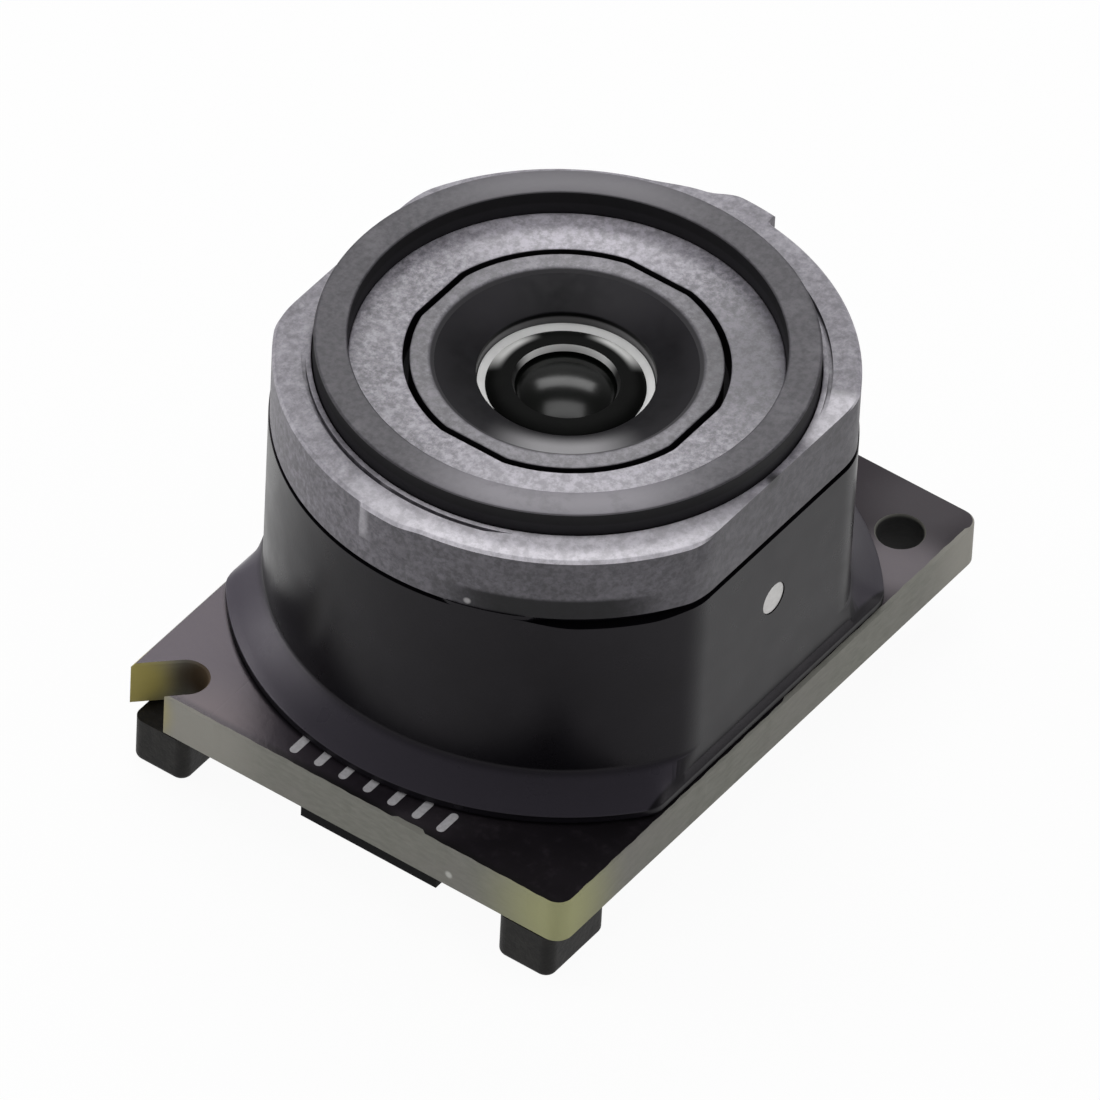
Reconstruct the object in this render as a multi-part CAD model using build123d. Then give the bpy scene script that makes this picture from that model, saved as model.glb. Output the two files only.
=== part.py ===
from build123d import *
import math
import os

# Board, mm: centred in X and Y, +Z towards the lens
BOARD_T = 0.85
BOARD_CORNER_R = 0.3
BOARD_END_LEDGE = 0.46
BOARD_SIDE_LEDGE = 0.06
PIN_D = 0.7
HOLE_PLAY = 0.08
SLOT_PLAY = 0.04
HOLE_FROM_END = 1.08
LOCATE_FROM_SIDE = 0.845
SLOT_FROM_END = 0.54

# Feet under the left and front corners
FOOT_H = 0.87
FOOT_X = 1.55
FOOT_Y = 1.06
FOOT_END_INSET = 0.01
FOOT_SIDE_INSET = 0.2
FOOT_ROUND = 0.2

# Play between round faces that nest
PLAY = 0.02

# Sensor and the small parts round it, from the board up
BALL_R = 0.13
BALL_H = 0.12
BALL_COUNT = 6
BALL_INSET = 0.525
SENSOR_SIDE = 4.8
SENSOR_T = 0.45
COVER_INSET = 0.2
COVER_T = 0.3
FOCUS_GAP = 0.53
CHAMBER_CAP_X = 0.3
CHAMBER_CAP_Y = 0.6
CHAMBER_CAP_T = 0.3
CHAMBER_CAP_GAP = 0.4
CHAMBER_CAP_PITCH = 1.3

# Lens stack from the front lip down
LIP_T = 0.15
LENS_1_T = 0.45
LENS_1_BEVEL = 0.07
LENS_1_RISE = 0.13
SPACER_1_T = 0.2
LENS_2_T = 0.3
STOP_T = 0.05
SPACER_2_T = 0.2
LENS_3_T = 0.35
SPACER_3_T = 0.15
LENS_4_T = 0.45
RETAINER_T = 0.3
STACK_R = 2.3
STACK_LEDGE = 0.8
STOP_R = 0.6
LENS_SAG = 0.1
RETAINER_W = 0.53

# Lens barrel and what its mouth holds
SHANK_WALL = 0.9
BORE_PLAY = 0.03
RECESS_R = 3.48
RIM_WALL = 0.54
RIM_EDGE = 0.04
FRONT_DROP = 0.42
FRONT_T = 0.55
FRONT_W = 0.88
KEY_DEEP = 0.07
KEYED_GAP = 0.11
LIP_RING_W = 0.35
CONE_RUN = 0.67
CONE_DEEP = 0.41
CONE_OVERHANG = 0.07

# Filter on its web
FILTER_CLEAR = 0.12
FILTER_T = 0.25
FILTER_LEDGE = 0.4
FILTER_GAP = 0.1
WEB_T = 0.2

# Holder body and its skirt
SENSOR_CLEAR = 0.36
CHAMBER_WALL = 0.4
COLLAR_WALL = 0.13
FLAT_DEEP = 0.51
BOND_T = 0.04
SKIRT_FLARE = 0.58
SKIRT_STEP = 0.09
SKIRT_LIP = 0.12
SKIRT_H = 0.6
BOND_INSET = 0.06
GROOVE_DEEP = 0.2
GROOVE_TALL = 0.15
GROOVE_FROM = 210.0
GROOVE_TO = 241.0
VENT_D = 0.58
VENT_DEEP = 0.15
VENT_DROP = 1.51

# Collar
COLLAR_T = 1.22
COLLAR_INSET = 0.02
COLLAR_CHAMFER = 0.18
RIM_PROUD = 0.41
LUG_HALF = 0.62
LUG_OUT = 0.2
LUG_DROP = 0.27
RELIEF_TALL = 0.35
RELIEF_DEEP = 0.12
RELIEF_FROM = 189.0
RELIEF_TO = 243.0
TOP_GROOVE_IN = 0.09
TOP_GROOVE_W = 0.07
TOP_GROOVE_DEEP = 0.12

# Underside parts
PLUG_X = 2.0
PLUG_Y = 5.2
PLUG_FROM_END = 2.22
PLUG_WALL = 0.3
PLUG_FLOOR = 0.22
TONGUE_X = 0.5
CONTACT_COUNT = 10
CONTACT_PITCH = 0.4
CONTACT_W = 0.2
CONTACT_OUT = 0.3
CONTACT_T = 0.12
ANCHOR_W = 0.9
ANCHOR_OUT = 0.25
DRIVER_SIDE = 2.66
DRIVER_T = 0.46
DRIVER_INSET = 0.3
DRIVER_Y = -0.36
LAND_T = 0.05
LAND_W = 0.22
LAND_L = 0.4
LAND_COUNT = 4
LAND_PITCH = 0.5
MEMORY_X = 1.8
MEMORY_Y = 1.6
MEMORY_T = 0.5
MEMORY_AT_X = -0.4
MEMORY_AT_Y = 2.2
LEAD_W = 0.2
LEAD_OUT = 0.25
LEAD_T = 0.1
LEAD_COUNT = 3
LEAD_PITCH = 0.5
CAP_L = 0.36
CAP_W = 0.3
CAP_T = 0.3
CAP_END = 0.12
CAP_COUNT = 4
CAP_PITCH = 0.7
CAP_AT_X = -1.9
CAP_AT_Y = -2.6

# Radii, from the mouth of the barrel inwards
KEYED_R = RECESS_R - FRONT_W
KEYED_FLAT = KEYED_R - KEY_DEEP
LIP_RING_R = KEYED_R - KEYED_GAP
LIP_RING_FLAT = KEYED_FLAT - KEYED_GAP
LIP_RING_IN_R = LIP_RING_R - LIP_RING_W
CONE_TOP_R = LIP_RING_IN_R - 2 * PLAY
CONE_LOW_R = CONE_TOP_R - CONE_RUN
LENS_1_DOME_R = CONE_LOW_R - PLAY
LIP_OPENING_R = CONE_LOW_R + CONE_OVERHANG
NEST_R = STACK_R - PLAY
CLEAR_R = STACK_R - STACK_LEDGE
RETAINER_IN_R = NEST_R - RETAINER_W
SHANK_R = STACK_R + SHANK_WALL
BORE_R = SHANK_R + BORE_PLAY
FILTER_SIDE = math.sqrt(2) * (BORE_R - FILTER_CLEAR)
WEB_OPENING = FILTER_SIDE - 2 * FILTER_LEDGE

# Radii and widths, from the mouth outwards to the board's edges
RIM_R = RECESS_R + RIM_WALL
COLLAR_BORE_R = RIM_R + PLAY
CHAMBER_R = SENSOR_SIDE / math.sqrt(2) + SENSOR_CLEAR
FLAT_HALF = max(COLLAR_BORE_R + COLLAR_WALL, CHAMBER_R + CHAMBER_WALL)
BODY_R = FLAT_HALF + FLAT_DEEP
COLLAR_R = BODY_R - COLLAR_INSET
LUG_R = COLLAR_R + LUG_OUT
SKIRT_R = BODY_R + SKIRT_FLARE
SKIRT_HALF_Y = FLAT_HALF + SKIRT_STEP
BOARD_X = 2 * (SKIRT_R + BOARD_END_LEDGE)
BOARD_Y = 2 * (SKIRT_HALF_Y + BOARD_SIDE_LEDGE)
COVER_SIDE = SENSOR_SIDE - 2 * COVER_INSET
BALL_PITCH = (SENSOR_SIDE - 2 * BALL_INSET) / (BALL_COUNT - 1)
CHAMBER_CAP_AT = SENSOR_SIDE / 2 + CHAMBER_CAP_GAP + CHAMBER_CAP_X / 2
PLUG_AT = BOARD_X / 2 - PLUG_FROM_END
SLOT_W = PIN_D + SLOT_PLAY
HOLE_D = PIN_D + HOLE_PLAY
SLOT_REACH = math.hypot(SLOT_FROM_END, LOCATE_FROM_SIDE) + SLOT_W

# Levels in the shared frame, feet on zero, from the sensor up through the lens stack
BOARD_LOW = FOOT_H
BOARD_TOP = BOARD_LOW + BOARD_T
BOND_TOP = BOARD_TOP + BOND_T
SKIRT_TOP = BOARD_TOP + SKIRT_H
SENSOR_LOW = BOARD_TOP + BALL_H
COVER_LOW = SENSOR_LOW + SENSOR_T
WEB_LOW = COVER_LOW + COVER_T + FOCUS_GAP
WEB_TOP = WEB_LOW + WEB_T
BARREL_LOW = WEB_TOP + FILTER_T + FILTER_GAP
STACK = [
    ("retainer", RETAINER_T),
    ("lens_4", LENS_4_T),
    ("spacer_3", SPACER_3_T),
    ("lens_3", LENS_3_T),
    ("spacer_2", SPACER_2_T),
    ("stop", STOP_T),
    ("lens_2", LENS_2_T),
    ("spacer_1", SPACER_1_T),
    ("lens_1", LENS_1_T),
]
LIP_LOW = BARREL_LOW + sum(thick for name, thick in STACK)
SHELF = LIP_LOW + LIP_T
FRONT_TOP = SHELF + FRONT_T
RIM_TOP = FRONT_TOP + FRONT_DROP
COLLAR_TOP = RIM_TOP - RIM_PROUD
BODY_TOP = COLLAR_TOP - COLLAR_T
VENT_AT = BODY_TOP - VENT_DROP


def disc(radius, low, high):
    return Pos(0, 0, (low + high) / 2) * Cylinder(radius, high - low)


def ring(outer, inner, low, high):
    return disc(outer, low, high) - disc(inner, low, high)


def block(x0, x1, y0, y1, low, high):
    centre = Pos((x0 + x1) / 2, (y0 + y1) / 2, (low + high) / 2)
    return centre * Box(x1 - x0, y1 - y0, high - low)


def square(side_x, side_y, x, y, low, high):
    return block(x - side_x / 2, x + side_x / 2, y - side_y / 2, y + side_y / 2, low, high)


def turned(points):
    outline = make_face(Polyline(points, close=True))
    return revolve(Plane.XZ * outline, Axis.Z)


def slab(half, low, high):
    """A block wider than any round piece that leaves flats facing +Y and -Y."""
    return block(-SKIRT_R * 2, SKIRT_R * 2, -half, half, low, high)


def sector(inner, outer, start, end, low, high):
    """Part of a ring between two angles, in degrees from +X."""
    reach = outer * 3
    angles = [math.radians(a) for a in (start, (start + end) / 2, end)]
    corners = [(0, 0)] + [(reach * math.cos(a), reach * math.sin(a)) for a in angles]
    wedge = extrude(make_face(Polyline(corners, close=True)), high - low)
    return ring(outer, inner, low, high) & (Pos(0, 0, low) * wedge)


def keyed(radius, flat, low, high):
    """A disc with four small flats facing +X, -X, +Y and -Y."""
    return disc(radius, low, high) & square(flat * 2, flat * 2, 0, 0, low, high)


def group(pieces):
    return Compound(children=[Solid(p.solids()[0].wrapped) for p in pieces])


def circuit_board():
    plate = extrude(RectangleRounded(BOARD_X, BOARD_Y, BOARD_CORNER_R), BOARD_T)
    board = Pos(0, 0, BOARD_LOW) * plate
    hole_x = BOARD_X / 2 - HOLE_FROM_END
    side_y = BOARD_Y / 2 - LOCATE_FROM_SIDE
    board -= Pos(hole_x, -side_y, 0) * disc(HOLE_D / 2, BOARD_LOW, BOARD_TOP)
    cut = disc(SLOT_W / 2, BOARD_LOW, BOARD_TOP)
    cut += block(-SLOT_REACH, 0, -SLOT_W / 2, SLOT_W / 2, BOARD_LOW, BOARD_TOP)
    slot_x = SLOT_FROM_END - BOARD_X / 2
    return board - Pos(slot_x, side_y, 0) * Rot(0, 0, -45) * cut


def lens_holder():
    body = turned([(0, BOND_TOP), (SKIRT_R, BOND_TOP), (SKIRT_R, BOND_TOP + SKIRT_LIP), (BODY_R, SKIRT_TOP),
                   (BODY_R, BODY_TOP), (0, BODY_TOP)])
    body &= slab(SKIRT_HALF_Y, BOND_TOP, BODY_TOP)
    upper = slab(SKIRT_R * 2, SKIRT_TOP, BODY_TOP)
    body -= upper - slab(FLAT_HALF, SKIRT_TOP, BODY_TOP)
    body -= disc(CHAMBER_R, BOND_TOP, WEB_LOW)
    body -= square(WEB_OPENING, WEB_OPENING, 0, 0, WEB_LOW, WEB_TOP)
    body -= disc(BORE_R, WEB_TOP, BODY_TOP)
    for turn in (0, 180):
        body -= sector(BODY_R - GROOVE_DEEP, BODY_R * 2, GROOVE_FROM + turn, GROOVE_TO + turn,
                       BODY_TOP - GROOVE_TALL, BODY_TOP)
    return body - vent(VENT_D / 2, 0)


def vent(radius, back_off):
    """A round piece set into the flat that faces -Y."""
    length = VENT_DEEP - back_off
    middle = Pos(0, -FLAT_HALF + VENT_DEEP - length / 2, VENT_AT)
    return middle * Rot(90, 0, 0) * Cylinder(radius, length)


def vent_plug():
    return vent(VENT_D / 2 - PLAY / 2, PLAY)


def holder_collar():
    low, top, c = BODY_TOP, COLLAR_TOP, COLLAR_CHAMFER
    round_part = turned([(0, low), (COLLAR_R, low), (COLLAR_R, top - c), (COLLAR_R - c, top), (0, top)])
    half = FLAT_HALF
    outline = [(-half, low), (half, low), (half, top - c), (half - c, top), (c - half, top), (-half, top - c)]
    flats = extrude(Plane.YZ * make_face(Polyline(outline, close=True)), COLLAR_R * 2, both=True)
    collar = round_part & flats
    lug_top = top - LUG_DROP
    lugs = disc(LUG_R, low, lug_top) & block(-LUG_R, LUG_R, -LUG_HALF, LUG_HALF, low, lug_top)
    collar += lugs
    for turn in (0, 180):
        collar -= sector(COLLAR_R - RELIEF_DEEP, COLLAR_R * 2, RELIEF_FROM + turn, RELIEF_TO + turn,
                         low, low + RELIEF_TALL)
    groove = COLLAR_BORE_R + TOP_GROOVE_IN
    collar -= ring(groove + TOP_GROOVE_W, groove, top - TOP_GROOVE_DEEP, top)
    return collar - disc(COLLAR_BORE_R, low, top)


def lens_barrel():
    e = RIM_EDGE
    outer = [(STACK_R, BARREL_LOW), (SHANK_R, BARREL_LOW), (SHANK_R, BODY_TOP), (RIM_R, BODY_TOP),
             (RIM_R, RIM_TOP - e), (RIM_R - e, RIM_TOP)]
    inner = [(RECESS_R + e, RIM_TOP), (RECESS_R, RIM_TOP - e), (RECESS_R, SHELF), (LIP_OPENING_R, SHELF),
             (LIP_OPENING_R, LIP_LOW), (STACK_R, LIP_LOW)]
    return turned(outer + inner)


def front_ring():
    return disc(RECESS_R - PLAY, SHELF, FRONT_TOP) - keyed(KEYED_R, KEYED_FLAT, SHELF, FRONT_TOP)


def lip_ring():
    outer = keyed(LIP_RING_R, LIP_RING_FLAT, SHELF, FRONT_TOP)
    return outer - disc(LIP_RING_IN_R, SHELF, FRONT_TOP)


def hood_cone():
    edge = PLAY
    return turned([(CONE_LOW_R, SHELF), (CONE_TOP_R, SHELF), (CONE_TOP_R, FRONT_TOP), (CONE_TOP_R - edge, FRONT_TOP),
                   (CONE_LOW_R, FRONT_TOP - CONE_DEEP)])


def arc_points(radius, edge_z, sag, steps=8):
    """Points of a shallow dome from its edge to the axis."""
    spread = [radius * (1 - i / steps) for i in range(steps + 1)]
    return [(r, edge_z + sag * (1 - (r / radius) ** 2)) for r in spread]


def lens_levels():
    """Bottom and top of each piece of the stack, from the barrel's foot up."""
    levels = {}
    low = BARREL_LOW
    for name, thick in STACK:
        levels[name] = (low, low + thick)
        low += thick
    return levels


LEVELS = lens_levels()


def lens_element_1():
    low, high = LEVELS["lens_1"]
    dome_low = SHELF - LENS_1_BEVEL
    inner = LENS_1_DOME_R - LENS_1_BEVEL
    profile = [(0, low), (NEST_R, low), (NEST_R, high), (LENS_1_DOME_R, high), (LENS_1_DOME_R, dome_low)]
    return turned(profile + arc_points(inner, SHELF, LENS_1_RISE))


def thin_lens(name, dome_down):
    """A flanged lens with one domed face that stands in the next piece's opening."""
    low, high = LEVELS[name]
    dome = CLEAR_R - PLAY
    if dome_down:
        points = [(0, high), (NEST_R, high), (NEST_R, low), (dome, low)]
        return turned(points + [(r, 2 * low - z) for r, z in arc_points(dome, low, LENS_SAG)][1:])
    points = [(0, low), (NEST_R, low), (NEST_R, high), (dome, high)]
    return turned(points + arc_points(dome, high, LENS_SAG)[1:])


def stack_ring(name, inner):
    low, high = LEVELS[name]
    return ring(NEST_R, inner, low, high)


def ir_filter():
    return square(FILTER_SIDE, FILTER_SIDE, 0, 0, WEB_TOP, WEB_TOP + FILTER_T)


def ball_spots():
    first = -(BALL_COUNT - 1) / 2
    lane = [(first + i) * BALL_PITCH for i in range(BALL_COUNT)]
    outermost = max(lane) - BALL_PITCH / 2
    return [(x, y) for x in lane for y in lane if max(abs(x), abs(y)) > outermost]


def sensor_solder_balls():
    return group([Pos(x, y, 0) * disc(BALL_R, BOARD_TOP, SENSOR_LOW) for x, y in ball_spots()])


def image_sensor():
    return square(SENSOR_SIDE, SENSOR_SIDE, 0, 0, SENSOR_LOW, COVER_LOW)


def sensor_cover_glass():
    return square(COVER_SIDE, COVER_SIDE, 0, 0, COVER_LOW, COVER_LOW + COVER_T)


def chamber_capacitors():
    low, high = BOARD_TOP, BOARD_TOP + CHAMBER_CAP_T
    spots = [(s * CHAMBER_CAP_AT, t * CHAMBER_CAP_PITCH / 2) for s in (-1, 1) for t in (-1, 1)]
    return group([square(CHAMBER_CAP_X, CHAMBER_CAP_Y, x, y, low, high) for x, y in spots])


def holder_adhesive():
    layer = disc(SKIRT_R - BOND_INSET, BOARD_TOP, BOND_TOP)
    layer &= slab(SKIRT_HALF_Y - BOND_INSET, BOARD_TOP, BOND_TOP)
    return layer - disc(CHAMBER_R + BOND_INSET, BOARD_TOP, BOND_TOP)


def spacer_foot(side):
    x0 = FOOT_END_INSET - BOARD_X / 2
    y_edge = BOARD_Y / 2 - FOOT_SIDE_INSET
    y0, y1 = sorted((side * y_edge, side * (y_edge - FOOT_Y)))
    foot = block(x0, x0 + FOOT_X, y0, y1, 0, FOOT_H)
    foot = fillet(foot.edges().filter_by(Axis.Z), FOOT_ROUND)
    return fillet(foot.faces().sort_by(Axis.Z)[0].edges(), FOOT_ROUND / 2)


def connector_housing():
    shell = square(PLUG_X, PLUG_Y, PLUG_AT, 0, 0, BOARD_LOW)
    floor = BOARD_LOW - PLUG_FLOOR
    well = square(PLUG_X - 2 * PLUG_WALL, PLUG_Y - 2 * PLUG_WALL, PLUG_AT, 0, 0, floor)
    tongue = square(TONGUE_X, PLUG_Y - 4 * PLUG_WALL, PLUG_AT, 0, PLUG_WALL / 2, floor)
    return shell - (well - tongue)


def contact_lanes(count, pitch):
    return [(i - (count - 1) / 2) * pitch for i in range(count)]


def connector_contacts():
    tails = []
    for side in (-1, 1):
        x = PLUG_AT + side * (PLUG_X / 2 + CONTACT_OUT / 2)
        for y in contact_lanes(CONTACT_COUNT, CONTACT_PITCH):
            tails.append(square(CONTACT_OUT, CONTACT_W, x, y, BOARD_LOW - CONTACT_T, BOARD_LOW))
    return group(tails)


def connector_anchors():
    ends = [side * (PLUG_Y / 2 + ANCHOR_OUT / 2) for side in (-1, 1)]
    return group([square(ANCHOR_W, ANCHOR_OUT, PLUG_AT, y, BOARD_LOW - CONTACT_T * 2, BOARD_LOW) for y in ends])


def driver_x():
    return DRIVER_INSET + DRIVER_SIDE / 2 - BOARD_X / 2


def driver_chip():
    top = BOARD_LOW - LAND_T
    return square(DRIVER_SIDE, DRIVER_SIDE, driver_x(), DRIVER_Y, top - DRIVER_T, top)


def driver_terminals():
    lands = []
    reach = DRIVER_SIDE / 2 - LAND_L / 2 - LAND_T
    for side in (-1, 1):
        for lane in contact_lanes(LAND_COUNT, LAND_PITCH):
            x, y = driver_x() + lane, DRIVER_Y + side * reach
            lands.append(square(LAND_W, LAND_L, x, y, BOARD_LOW - LAND_T, BOARD_LOW))
    return group(lands)


def memory_chip():
    return square(MEMORY_X, MEMORY_Y, MEMORY_AT_X, MEMORY_AT_Y, BOARD_LOW - MEMORY_T, BOARD_LOW)


def memory_leads():
    leads = []
    for side in (-1, 1):
        y = MEMORY_AT_Y + side * (MEMORY_Y / 2 + LEAD_OUT / 2)
        for lane in contact_lanes(LEAD_COUNT, LEAD_PITCH):
            leads.append(square(LEAD_W, LEAD_OUT, MEMORY_AT_X + lane, y, BOARD_LOW - LEAD_T, BOARD_LOW))
    return group(leads)


def cap_spots():
    return [(CAP_AT_X + lane, CAP_AT_Y) for lane in contact_lanes(CAP_COUNT, CAP_PITCH)]


def underside_capacitors():
    return group([square(CAP_W, CAP_L, x, y, BOARD_LOW - CAP_T, BOARD_LOW) for x, y in cap_spots()])


def capacitor_terminals():
    ends = []
    for x, y in cap_spots():
        for side in (-1, 1):
            middle = y + side * (CAP_L + CAP_END) / 2
            ends.append(square(CAP_W, CAP_END, x, middle, BOARD_LOW - CAP_T, BOARD_LOW))
    return group(ends)


PIECES = {
    "circuit_board": circuit_board(),
    "lens_holder": lens_holder(),
    "holder_collar": holder_collar(),
    "lens_barrel": lens_barrel(),
    "front_ring": front_ring(),
    "lip_ring": lip_ring(),
    "hood_cone": hood_cone(),
    "lens_element_1": lens_element_1(),
    "spacer_ring_1": stack_ring("spacer_1", CLEAR_R),
    "lens_element_2": thin_lens("lens_2", False),
    "aperture_stop": stack_ring("stop", STOP_R),
    "spacer_ring_2": stack_ring("spacer_2", CLEAR_R),
    "lens_element_3": thin_lens("lens_3", False),
    "spacer_ring_3": stack_ring("spacer_3", CLEAR_R),
    "lens_element_4": thin_lens("lens_4", True),
    "rear_retainer": stack_ring("retainer", RETAINER_IN_R),
    "ir_filter": ir_filter(),
    "image_sensor": image_sensor(),
    "sensor_cover_glass": sensor_cover_glass(),
    "sensor_solder_balls": sensor_solder_balls(),
    "chamber_capacitors": chamber_capacitors(),
    "holder_adhesive": holder_adhesive(),
    "vent_plug": vent_plug(),
    "spacer_foot_left": spacer_foot(1),
    "spacer_foot_front": spacer_foot(-1),
    "connector_housing": connector_housing(),
    "connector_contacts": connector_contacts(),
    "connector_anchors": connector_anchors(),
    "driver_chip": driver_chip(),
    "driver_terminals": driver_terminals(),
    "memory_chip": memory_chip(),
    "memory_leads": memory_leads(),
    "underside_capacitors": underside_capacitors(),
    "capacitor_terminals": capacitor_terminals(),
}

os.makedirs("parts", exist_ok=True)
for node, shape in PIECES.items():
    export_step(shape, f"parts/{node}.step")
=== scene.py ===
import math
from collections import namedtuple

import bmesh
import bpy
from mathutils import Matrix, Vector


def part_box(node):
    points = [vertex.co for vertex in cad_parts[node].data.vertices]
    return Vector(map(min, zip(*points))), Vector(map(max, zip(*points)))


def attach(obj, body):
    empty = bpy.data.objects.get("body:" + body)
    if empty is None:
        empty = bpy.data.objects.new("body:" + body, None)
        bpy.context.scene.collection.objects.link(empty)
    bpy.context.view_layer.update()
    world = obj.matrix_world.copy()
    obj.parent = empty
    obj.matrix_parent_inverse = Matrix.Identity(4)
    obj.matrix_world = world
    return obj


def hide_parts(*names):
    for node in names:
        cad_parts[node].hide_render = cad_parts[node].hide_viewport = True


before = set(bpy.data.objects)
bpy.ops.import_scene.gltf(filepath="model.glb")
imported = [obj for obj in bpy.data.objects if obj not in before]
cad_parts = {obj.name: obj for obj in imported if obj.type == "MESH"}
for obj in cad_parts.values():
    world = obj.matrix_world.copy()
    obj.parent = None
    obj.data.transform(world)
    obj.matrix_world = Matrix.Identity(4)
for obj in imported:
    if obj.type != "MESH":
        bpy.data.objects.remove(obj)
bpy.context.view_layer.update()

# Units: sizes below are in millimetres, the scene is in metres
MM = 0.001


def span(node):
    """Lowest and highest corner of a CAD node, in millimetres."""
    low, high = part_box(node)
    return low / MM, high / MM


BOARD_MIN, BOARD_MAX = span("circuit_board")
HOLDER_MIN, HOLDER_MAX = span("lens_holder")
COLLAR_MAX = span("holder_collar")[1]
BARREL_MIN, BARREL_MAX = span("lens_barrel")
FRONT_MIN, FRONT_MAX = span("front_ring")
LIP_MAX = span("lip_ring")[1]
CONE_MAX = span("hood_cone")[1]
GLASS_MIN, GLASS_MAX = span("lens_element_1")
PLUG_MIN, PLUG_MAX = span("vent_plug")

# Levels
BOARD_TOP = BOARD_MAX.z
BODY_TOP = HOLDER_MAX.z
COLLAR_TOP = COLLAR_MAX.z
RIM_TOP = BARREL_MAX.z
FRONT_TOP = FRONT_MAX.z
SHELF = FRONT_MIN.z

# Board: worn stretches of the mask's edge have a start, an end and a depth
BOARD_CORNER_R = 0.3
BOARD_EDGE = 0.035
MASK_PULL_BACK = 0.03
MASK_WAVE = 0.008
MASK_RIPPLES = ((7.1, 0.0), (17.3, 1.0))
END_NICK = (-1.57, -1.0, 0.055)
SIDE_WEAR = (0.3, 9.0, 0.04)
WEAR_FADE = 0.06
HOLE_R = 0.39
HOLE_X = BOARD_MAX.x - 1.08
HOLE_Y = BOARD_MIN.y + 0.845
SLOT_HALF = 0.37
SLOT_X = BOARD_MIN.x + 0.54
SLOT_Y = BOARD_MAX.y - 0.845
SLOT_TURN = 45
MARK_COUNT = 7
MARK_X = BOARD_MIN.x + 0.45
MARK_Y = (-1.75, 1.13)
MARK_LONG = 0.34
MARK_WIDE = 0.15
MARK_T = 0.004

# Holder: sectors round the axis have a start, an end and a soft margin in degrees
BODY_R = 4.68
FLAT_HALF = COLLAR_MAX.y
FLAT_BLEND = 0.12
SKIRT_H = 0.6
SKIRT_LIP = 0.12
SKIRT_LIP_ROUND = 0.04
SKIRT_FOOT = 0.22
SKIRT_FOOT_SHARE = 0.75
SKIRT_FLAT_FADE = SKIRT_FOOT / 2
SKIRT_FILLET = 0.12
CHAMBER_R = 3.754
BORE_R = 3.23
WEB_HALF = 1.8
WEB_LOW = BOARD_TOP + 1.4
WEB_TOP = WEB_LOW + 0.2
WEB_BLEND = 0.02
GAP_TALL = 0.07
GAP_TALL_FLAT = 0.13
GAP_TALL_OPEN = 0.2
GAP_DEEP = 0.12
GAP_DEEPER = 0.6
GAP_CLOSED = (194.0, 208.0, 6.0)
GAP_OPEN = (219.0, 233.0, 14.0)
GAP_FLAT = (246.0, 294.0, 6.0)
VENT_PLAY = 0.01

# Collar
COLLAR_R = 4.66
COLLAR_CHAMFER = 0.05
COLLAR_ROUND = 0.03
COLLAR_BLEND = 0.15
BACK_CHAMFER = 0.13
BACK_SECTOR = (20.0, 75.0, 14.0)
COLLAR_BORE_R = BARREL_MAX.x + 0.02
COLLAR_BORE_ROUND = 0.02
LUG_R = COLLAR_MAX.x
LUG_HALF = 0.62
LUG_TALL = 0.72
LUG_EDGE = 0.1
LUG_SHARP = 0.6
LUG_FADE = 7.0
LUG_WORN = 0.4
TOP_GROOVE_R = COLLAR_BORE_R + 0.09
TOP_GROOVE_W = 0.07
TOP_GROOVE_DEEP = 0.1
TOP_GROOVE_OFF = ((205.0, 288.0, 12.0), (55.0, 125.0, 10.0))

# Barrel mouth
RIM_R = BARREL_MAX.x
RIM_ROUND = 0.05
RECESS_R = FRONT_MAX.x + 0.02
RECESS_ROUND = 0.04
RECESS_STEP = 0.015
RECESS_STEP_LOW = RIM_TOP - 0.2
RECESS_STEP_TALL = 0.03
SHANK_R = 3.2
SHANK_ROUND = 0.05
STACK_R = 2.3
MOUTH_LIP_T = 0.15
MOUTH_OPENING_R = 1.44
KEYED_R = 2.6
KEYED_FLAT = 2.53
KEYED_WIDE = 0.2
KEYED_BLEND = 0.01
KEYED_ROUND = 0.025
FRONT_ROUND = 0.03
LIP_OUT_R = 2.49
LIP_OUT_FLAT = LIP_MAX.x
LIP_KEYED_WIDE = 0.1
LIP_FLAT_R = 2.2
LIP_FLAT_ROUND = 0.1
LIP_ROLL = 0.06
CONE_LOW_R = 1.43
CONE_DEEP = 0.29
CONE_ROUND = 0.03

# Front glass
DOME_R = 1.41
FLANK_LOW_R = 1.28
FLANK_LOW = SHELF
FLANGE_RISE = 0.05
FLANK_TOP_R = 0.9
FLANK_TOP = GLASS_MAX.z - 0.03
FLANK_BULGE = 0.035
RING_EDGE_R = 0.86
RING_LOW_R = 0.815
RING_DROP = 0.11
DOME_DROP = 0.175
DOME_RISE = 0.195

# Feet
FEET = ("spacer_foot_left", "spacer_foot_front")
FOOT_EDGE = 0.14
FOOT_EDGE_STEPS = 3

# Mesh fineness
STEPS = 360
COLLAR_STEPS = 2 * STEPS
GLASS_STEPS = 240
ARC_STEPS = 3
CORNER_STEPS = 8
SLOT_STEPS = 20
CIRCLE_STEPS = 48
DOME_STEPS = 14
EDGE_STEP = 0.08
TINY = 1e-4
SMOOTH_ANGLE = math.radians(35)


def ease(t):
    """A smooth rise from 0 to 1."""
    t = min(max(t, 0), 1)
    return t * t * (3 - 2 * t)


def soft_min(a, b, blend):
    """The smaller of two lengths, rounded where they are nearly the same."""
    h = max(blend - abs(a - b), 0) / blend
    return min(a, b) - h * h * blend / 4


def window(angle, start, end, soft):
    """1 within a sector given in degrees, easing to 0 over a soft margin on both sides."""
    middle = (start + end) / 2
    off = abs((math.degrees(angle) - middle + 180) % 360 - 180) - (end - start) / 2
    return ease(1 - off / soft)


def both_sides(angle, sector):
    """The same sector on both sides of the axis."""
    return window(angle, *sector) + window(angle + math.pi, *sector)


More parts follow.
